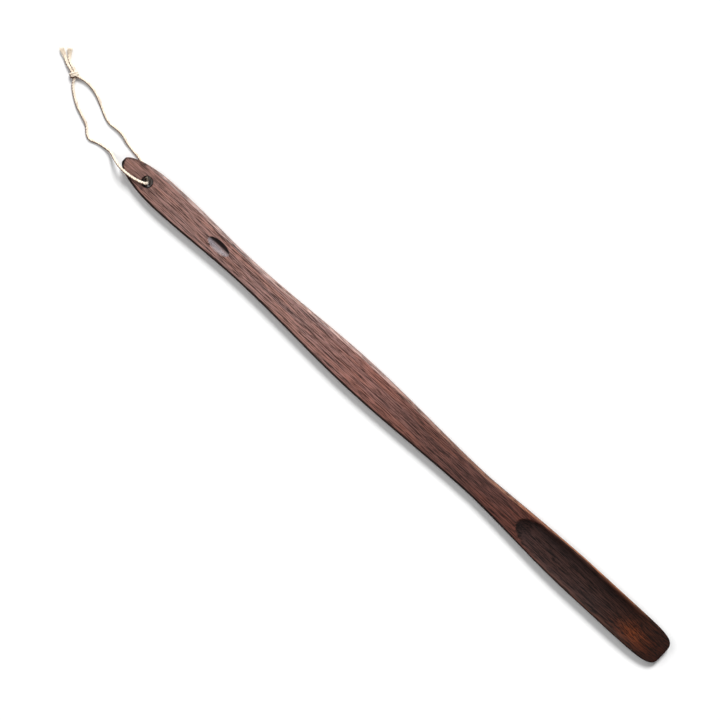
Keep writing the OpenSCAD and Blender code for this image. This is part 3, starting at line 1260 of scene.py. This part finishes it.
def carried_frames(line: Points) -> tuple[Points, Points, Points]:
    """Directions along and across a line, turned no more than the line itself turns.

    Args:
        line: points along the line.

    Returns:
        Tangents, and two directions across.
    """
    tangent = np.gradient(line, axis=0)
    tangent /= np.linalg.norm(tangent, axis=1)[:, None]
    across = np.empty_like(line)  # each direction is worked out from the one before it
    start = np.cross(tangent[0], [0.3, 0.9, 0.1])
    across[0] = start / np.linalg.norm(start)
    for i in range(1, len(line)):
        kept = across[i - 1] - tangent[i] * (across[i - 1] @ tangent[i])
        across[i] = kept / np.linalg.norm(kept)
    return tangent, across, np.cross(tangent, across)


def tube(line: Points, radius: Points, sides: int, offset: int) -> tuple[Points, Points, Points, Points]:
    """A closed round tube along a line.

    A point of ring i at angle t is the line's point plus radius times (cos t across + sin t up).

    Args:
        line: the centre line.
        radius: one radius a point of the line.
        sides: points round the tube.
        offset: index of the tube's first vertex in the whole mesh.

    Returns:
        Vertices, their UV pairs in millimetres, quads and end triangles.
    """
    _, across, up = carried_frames(line)
    angle = np.linspace(0, 2 * math.pi, sides, endpoint=False)
    ring = np.cos(angle)[None, :, None] * across[:, None, :] + np.sin(angle)[None, :, None] * up[:, None, :]
    skin = (line[:, None, :] + radius[:, None, None] * ring).reshape(-1, 3)
    points = np.concatenate([skin, line[:1], line[-1:]])
    around = angle[None, :] * radius.mean() + 0 * line[:, :1]
    along = travel(line)[:, None] + 0 * angle[None, :]
    uv = np.stack([along, around], axis=-1).reshape(-1, 2)
    uv = np.concatenate([uv, [[0.0, 0.0], [along[-1, 0], 0.0]]])
    quads = grid_faces(len(line), sides, True)[:, ::-1] + offset
    count = len(line) * sides
    first = fan(np.arange(sides) + offset, count + offset)
    last = fan(np.arange(sides) + (len(line) - 1) * sides + offset, count + 1 + offset)
    return points, uv, quads, np.concatenate([first[:, [1, 0, 2]], last])


@dataclass
class Yarn:
    """A mesh under construction, made of many tubes, with how much painted shade each point has: in the
    grooves and on the -Y side.
    """

    points: list[Points] = field(default_factory=list)
    maps: list[Points] = field(default_factory=list)
    faces: list[list[int]] = field(default_factory=list)
    outers: list[Points] = field(default_factory=list)
    count: int = 0

    BROWN_SIDE = np.array([0.0, -0.97, -0.24])  # away from the key lamp, mostly sideways: a fixed colour
    RESTING_HEIGHT = 0.02  # soft twine flattens where it lies on the table, this far above it

    def add(
        self, line: Points, radius: Points | float, sides: int, shift: float = 0.0,
        core: Points | None = None, reach: float = 1.4,
    ) -> None:
        """Adds one tube.

        Args:
            line: centre line in millimetres.
            radius: one radius, or one a point.
            sides: points round the tube.
            shift: moves the tube's map, so that neighbouring tubes don't look alike.
            core: the twine's own line, for a ply, so that its inner side can be told from its outer side.
            reach: the twine's own radius.
        """
        radii = np.broadcast_to(np.asarray(radius, dtype=float), (len(line),))
        points, uv, quads, caps = tube(line, radii, sides, self.count)
        outer = np.ones(len(points))
        if core is not None:
            away = points[:-2].reshape(len(line), sides, 3) - core[:, None, :]
            distance = np.linalg.norm(away, axis=2)
            turned_away = share(away @ self.BROWN_SIDE / distance, -0.15, 0.6)
            outer[:-2] = (distance / reach - 0.6 * turned_away).ravel()
        self.outers.append(outer)
        self.points.append(points)
        self.maps.append(uv + [shift, 0.37 * shift])
        self.faces += quads.tolist() + caps.tolist()
        self.count += len(points)

    def finish(self, name: str) -> bpy.types.Object:
        """Makes the mesh object.

        Args:
            name: the object's name.

        Returns:
            The object.
        """
        points = np.concatenate(self.points)
        points[:, 2] = np.maximum(points[:, 2], self.RESTING_HEIGHT)
        piece = make_piece(name, points, self.faces, np.concatenate(self.maps))
        add_attribute(piece, "outer", np.concatenate(self.outers))
        return piece


@dataclass
class HangingLoop:
    """Jute twine through the hole, tied in an overhand knot with two frayed tails, in millimetres.

    Routes are x and y from the hole's axis and z from the table.
    """

    hole: tuple[float, float]
    diameter: float = 2.8
    plies: int = 3
    ply_share: float = 0.33  # a ply's radius as a share of the twine's diameter
    ply_spread: float = 0.24  # distance of a ply's centre from the twine's, as a share of the diameter
    lay: float = 8.4  # length of twine in which a ply goes once round
    seed: int = 11
    finish: JuteYarn = field(default_factory=JuteYarn)

    FRONT = [
        (0.4, -2.0, 7.8), (1.0, -2.0, 11.0), (0.3, -2.3, 13.5), (-1.9, -3.2, 14.6), (-5.2, -4.6, 14.4),
        (-10, -6.0, 14.2), (-18, -7.4, 14.1), (-26, -7.8, 13.9), (-33.5, -7.2, 12.9), (-41, -5.8, 9.2),
        (-49, -4.0, 4.8), (-57.5, -4.8, 2.2), (-66, -6.6, 1.5), (-74, -9.2, 1.5), (-79.5, -7.4, 1.6),
        (-86, -1.2, 2.0), (-95.5, 3.4, 2.6), (-106, 7.4, 2.2), (-116, 13.4, 1.7), (-123.6, 20.0, 2.0),
        (-127.4, 26.6, 3.2), (-129.0, 29.2, 3.6),
    ]
    BACK = [
        (0.4, -2.0, 7.8), (-0.2, -2.0, 4.6), (-1.3, -1.3, 2.4), (-3.6, 0.4, 1.5), (-10, 4.6, 1.5),
        (-17.8, 9.2, 1.5), (-25, 11.4, 1.5), (-33, 12.4, 1.6), (-43, 14.4, 2.2), (-51, 17.2, 3.0),
        (-60, 17.8, 2.6), (-70, 17.0, 1.8), (-77, 19.0, 1.5), (-86.5, 23.6, 1.6), (-96, 28.4, 2.2),
        (-106, 31.6, 2.6), (-115.5, 32.4, 2.8), (-124.4, 30.8, 3.4), (-129.0, 29.9, 3.6),
    ]
    LEFT_TAIL = [
        (-128.8, 29.3, 3.6), (-131.8, 29.8, 3.6), (-137.2, 31.4, 3.2), (-142.8, 33.0, 2.6),
        (-150, 36.8, 2.2), (-157.6, 40.6, 2.0),
    ]
    RIGHT_TAIL = [
        (-128.8, 30.4, 3.6), (-131.9, 32.6, 3.8), (-137.4, 34.7, 3.2), (-142.8, 36.6, 2.6),
        (-147.2, 41.2, 2.2), (-151.0, 46.0, 2.0),
    ]
    KNOT_CENTRE = (-129.4, 29.6, 3.6)
    KNOT_TURN = -25.0  # degrees
    CLOSED_SHARE = 0.2  # of a tail, before its plies start to open
    PLIED_SHARE = 0.82  # of a tail, beyond which only loose fibres go on
    LOOSE_FIBRES = 130
    FIBRE_RADIUS = 0.22
    FIBRE_HEIGHT = 0.15  # of a loose fibre that lies on the table
    HAIR_HEIGHT = 0.1
    UNEVEN = ((0.35, 0.05), (0.9, 0.035), (2.3, 0.02))  # waves of a ply's radius: radians a mm, share

    def placed(self, route: list[tuple[float, float, float]]) -> list[tuple[float, float, float]]:
        """A route moved from the hole's axis to the row frame, in millimetres."""
        return [(x + self.hole[0], y + self.hole[1], z) for x, y, z in route]

    def ply_lines(self, line: Points, spread: Points | float, phase: float = 0.0) -> list[Points]:
        """Centre lines of the plies, each a helix round the twine's own line.

        Args:
            line: the twine's centre line.
            spread: distance of a ply's centre from the line, one number or one a point.
            phase: turn at the start, in radians.

        Returns:
            One line a ply.
        """
        _, across, up = carried_frames(line)
        distance = travel(line)
        spread = np.broadcast_to(np.asarray(spread, dtype=float), (len(line),))[:, None]
        lines = []
        for ply in range(self.plies):
            turn = 2 * math.pi * (distance / self.lay + ply / self.plies) + phase
            lines.append(line + spread * (np.cos(turn)[:, None] * across + np.sin(turn)[:, None] * up))
        return lines

    def lay_twine(self, yarn: Yarn, line: Points, random: np.random.Generator, phase: float = 0.0) -> None:
        """Adds the plies of a stretch of twine.

        Args:
            yarn: the mesh under construction.
            line: the twine's centre line.
            random: source of the yarn's unevenness.
            phase: turn at the start.
        """
        ply_radius = self.diameter * self.ply_share
        for number, ply in enumerate(self.ply_lines(line, self.diameter * self.ply_spread, phase)):
            distance = travel(ply)
            wobble = sum(
                np.sin(distance * rate + random.uniform(0, 6.3)) * size
                for rate, size in self.UNEVEN
            )
            yarn.add(ply, ply_radius * (1 + wobble), 10, 13.0 * number, line, self.diameter / 2)

    def add_fuzz(
        self, yarn: Yarn, line: Points, count: int, reach: float, random: np.random.Generator
    ) -> None:
        """Adds loose fibres that stand off the twine: thin bent hairs.

        A hair leaves the surface nearly along the twine, and bends outwards and down its own small arc.

        Args:
            yarn: the mesh under construction.
            line: the twine's centre line.
            count: number of hairs.
            reach: how far the longest hairs stand out.
            random: source of the hairs' places.
        """
        tangent, across, up = carried_frames(line)
        t = np.linspace(0, 1, 5)[:, None]
        for start in random.integers(1, len(line) - 2, count):
            angle = random.uniform(0, 2 * math.pi)
            out = math.cos(angle) * across[start] + math.sin(angle) * up[start]
            side = np.cross(tangent[start], out)
            along = tangent[start] * random.choice([-1.0, 1.0])
            long, tall = random.uniform(1.2, 4.0), random.uniform(0.25, 1.0) * reach
            hair = (
                line[start] + out * self.diameter * 0.40 + along * long * t + out * tall * t**1.5
                + side * random.uniform(-1.0, 1.0) * t**2
            )
            hair[:, 2] = np.maximum(hair[:, 2], self.HAIR_HEIGHT)
            yarn.add(hair, random.uniform(0.035, 0.06) * (1 - 0.6 * t[:, 0]), 3, random.uniform(0, 40))

    def build_run(self, name: str, route: list[tuple[float, float, float]], seed: int) -> tuple[Any, Points]:
        """Builds one side of the loop, from the hole to the knot.

        Args:
            name: the piece's name.
            route: the stretch's route.
            seed: start of the random numbers.

        Returns:
            The piece and its centre line in millimetres.
        """
        random = np.random.default_rng(self.seed + seed)
        line = smooth_route(self.placed(route), 0.6)
        yarn = Yarn()
        self.lay_twine(yarn, line, random)
        self.add_fuzz(yarn, line, 260, 1.3, random)
        return yarn.finish(name), line

    def knot_line(self, side: float) -> Points:
        """Centre line of one of the two strands that wrap round the knot side by side.

        The strand goes once and a bit round an oval, moves along as it goes, leans like a screw's thread, and
        starts and ends in the middle, where the loop comes in and the tails go out.

        Args:
            side: -1 and 1 for the two strands.

        Returns:
            The line's points.
        """
        t = np.linspace(0, 1, 100)
        turn = 2 * math.pi * (1.2 * t - 0.22)
        open_share = np.sin(math.pi * t) ** 0.45
        drift = 5.0 * (t - 0.5) * (1 - 0.7 * np.abs(2 * t - 1) ** 4)
        x = drift + np.sin(math.pi * t) ** 0.25 * (1.25 * side + np.cos(turn))
        local = np.stack([x, 4.0 * open_share * np.cos(turn), 2.2 * open_share * np.sin(turn)], axis=1)
        spin = math.radians(self.KNOT_TURN)
        cosine, sine = math.cos(spin), math.sin(spin)
        turned = np.array([[cosine, -sine, 0], [sine, cosine, 0], [0, 0, 1]])
        return local @ turned.T + np.array(self.placed([self.KNOT_CENTRE])[0])

    def build_knot(self) -> bpy.types.Object:
        """Builds the overhand knot from the two strands that run through it."""
        random = np.random.default_rng(self.seed + 3)
        yarn = Yarn()
        for side in (-1.0, 1.0):
            line = self.knot_line(side)
            line[:, 2] = np.maximum(line[:, 2], 1.3)
            self.lay_twine(yarn, line, random, side)
            self.add_fuzz(yarn, line, 70, 1.3, random)
        return yarn.finish("overhand_knot")

    def build_tail(self, name: str, route: list[tuple[float, float, float]], seed: int) -> bpy.types.Object:
        """Builds a tail: twine that opens into loose yarn and single fibres at its cut end.

        Args:
            name: the piece's name.
            route: the tail's route.
            seed: start of the random numbers.

        Returns:
            The piece.
        """
        random = np.random.default_rng(self.seed + seed)
        line = smooth_route(self.placed(route), 0.6)
        line = np.vstack([line, line[-1] + (line[-1] - line[-2]) * np.arange(1, 4)[:, None]])
        distance = travel(line)
        opened = ease(share(distance, distance[-1] * self.CLOSED_SHARE, distance[-1]))
        yarn = Yarn()
        kept = int(len(line) * self.PLIED_SHARE)
        ply_radius = self.diameter * self.ply_share * (1.15 - 0.90 * opened[:kept])
        for number, ply in enumerate(self.ply_lines(line, self.diameter * self.ply_spread + 1.2 * opened)):
            yarn.add(ply[:kept], ply_radius, 8, 17.0 * number, line[:kept], self.diameter / 2)
        _, across, up = carried_frames(line)
        for _ in range(self.LOOSE_FIBRES):
            start = int(len(line) * random.uniform(0.15, 0.7))
            stop = int(len(line) * random.uniform(0.90, 1.0))
            u = np.linspace(0, 1, stop - start)[:, None]
            angle, wide = random.uniform(0, 2 * math.pi), random.uniform(0.1, 2.5)
            swing = angle + random.uniform(-0.5, 0.5) * 3 * u
            out = np.cos(swing) * across[start:stop] + np.sin(swing) * up[start:stop]
            strand = line[start:stop] + out * (0.7 + wide * u**1.6)
            strand[:, 2] = np.maximum(strand[:, 2], self.FIBRE_HEIGHT)
            yarn.add(strand[::2], self.FIBRE_RADIUS * (1 - 0.6 * u[::2, 0]), 4, random.uniform(0, 50))
        self.add_fuzz(yarn, line, 90, 1.6, random)
        return yarn.finish(name)

    def build(self) -> list[bpy.types.Object]:
        """Builds the loop's pieces and hides the CAD twine that they replace.

        Returns:
            The pieces.
        """
        front, front_line = self.build_run("twine_over_front", self.FRONT, 1)
        back, back_line = self.build_run("twine_under_back", self.BACK, 2)
        knot = self.build_knot()
        left = self.build_tail("frayed_tail_left", self.LEFT_TAIL, 4)
        right = self.build_tail("frayed_tail_right", self.RIGHT_TAIL, 5)
        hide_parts("twine_front_run")
        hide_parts("twine_back_run")
        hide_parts("twine_knot")
        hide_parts("twine_tail_left")
        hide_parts("twine_tail_right")
        return [front, back, knot, left, right]

    def dress(self, pieces: list[bpy.types.Object]) -> None:
        """Gives the twine its finish and ties it to its CAD body.

        Args:
            pieces: the loop's pieces.
        """
        material = self.finish.build()
        for piece in pieces:
            piece.data.materials.append(material)
            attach(piece, Body.LOOP.value)


# ---------------------------------------------------------------- the studio


@dataclass(frozen=True)
class Lamp:
    """A large soft lamp far away.

    The strength is the light on a surface that faces the lamp. The spread is the lamp's apparent width, which
    sets how soft its shadows are. It stands "turn" degrees from +Y towards -X, and "rise" above the table.
    """

    name: str
    strength: float
    spread: float
    turn: float
    rise: float = 45.0

    def hang(self) -> None:
        """Puts the lamp in the scene."""
        data = bpy.data.lights.new(self.name, "SUN")
        data.energy = self.strength
        data.angle = math.radians(self.spread)
        lamp = bpy.data.objects.new(self.name, data)
        bpy.context.scene.collection.objects.link(lamp)
        around, up = math.radians(self.turn), math.radians(self.rise)
        level = math.cos(up)
        towards = Vector((-math.sin(around) * level, math.cos(around) * level, math.sin(up)))
        lamp.rotation_euler = towards.to_track_quat("Z", "Y").to_euler()


@dataclass
class Studio:
    """A white table, soft light from above, and a long-lens camera nearly straight above."""

    view_width: float = 739.5  # millimetres across the picture at the table
    centre: tuple[float, float, float] = (-57.8, 11.4, 0.0)
    tilt: float = 8.5  # degrees from straight down, towards the +Y side
    roll: float = 42.57  # degrees that +X points below the picture's right
    distance: float = 3000.0
    sensor: float = 36.0
    table_reach: float = 3000.0  # from the middle to each side
    table_colour: str = "F4F4F4"
    room_colour: str = "FFFFFF"
    room_strength: float = 0.06
    lamps: tuple[Lamp, ...] = (
        Lamp("key_softbox", 3.25, 20.0, 20.0),
        Lamp("handle_end_softbox", 1.10, 40.0, 90.0),
        Lamp("blade_end_softbox", 0.55, 40.0, -90.0),
    )

    def build_camera(self) -> None:
        """Makes the camera that the scene is seen with."""
        lean, turn = math.radians(self.tilt), math.radians(self.roll)
        back = Vector((0.0, math.sin(lean), math.cos(lean)))
        along = Vector((1.0, 0.0, 0.0))
        across = Vector((0.0, math.cos(lean), -math.sin(lean)))
        right = along * math.cos(turn) + across * math.sin(turn)
        up = across * math.cos(turn) - along * math.sin(turn)
        spot = (Vector(self.centre) + back * self.distance) * MM
        data = bpy.data.cameras.new("long_lens")
        data.sensor_width = self.sensor
        data.lens = self.sensor * self.distance / self.view_width
        data.clip_start, data.clip_end = 0.1, 20.0
        camera = bpy.data.objects.new("long_lens", data)
        bpy.context.scene.collection.objects.link(camera)
        turned = Matrix((right, up, back)).transposed().to_4x4()
        camera.matrix_world = Matrix.Translation(spot) @ turned
        bpy.context.scene.camera = camera

    def build_floor(self) -> None:
        """Makes the matt white table top, which shows the soft shadows."""
        corners = self.table_reach * np.array([[-1.0, -1, 0], [1, -1, 0], [1, 1, 0], [-1, 1, 0]])
        floor = make_piece("table_top", corners, [[0, 1, 2, 3]])
        material, tree = new_material("white_card")
        shader = add_node(
            tree, "ShaderNodeBsdfPrincipled",
            {"Base Color": linear(self.table_colour), "Roughness": 0.9, "Specular IOR Level": 0.1},
        )
        add_node(tree, "ShaderNodeOutputMaterial", {"Surface": shader.outputs["BSDF"]})
        floor.data.materials.append(material)

    def build_light(self) -> None:
        """Makes the soft key light, a weaker lamp beyond each end, and a dim room."""
        world = bpy.data.worlds.new("dim_room")
        world.use_nodes = True
        background = world.node_tree.nodes["Background"]
        background.inputs["Color"].default_value = linear(self.room_colour)
        background.inputs["Strength"].default_value = self.room_strength
        bpy.context.scene.world = world
        for lamp in self.lamps:
            lamp.hang()
        bpy.context.scene.view_settings.view_transform = "Standard"


def main() -> None:
    """Builds the camera, the twine, the wood and the rest of the studio, and reports each piece."""
    logging.basicConfig(level=logging.INFO, format="%(name)s: %(message)s")
    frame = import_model()
    studio = Studio()
    studio.build_camera()
    joint = next(j for j in frame["joints"] if j["name"] == "loop_swing")
    loop = HangingLoop(hole=(joint["pos_m"][0] / MM, joint["pos_m"][1] / MM))
    pieces = loop.build()
    loop.dress(pieces)
    low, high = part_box("shoehorn_body")
    body = CarvedBody(length=(high.x - low.x) / MM)
    wood = body.build()
    body.dress(wood)
    studio.build_floor()
    studio.build_light()
    for piece in [*pieces, wood]:
        LOG.info("%s: %d faces", piece.name, len(piece.data.polygons))


if __name__ == "__main__":
    main()
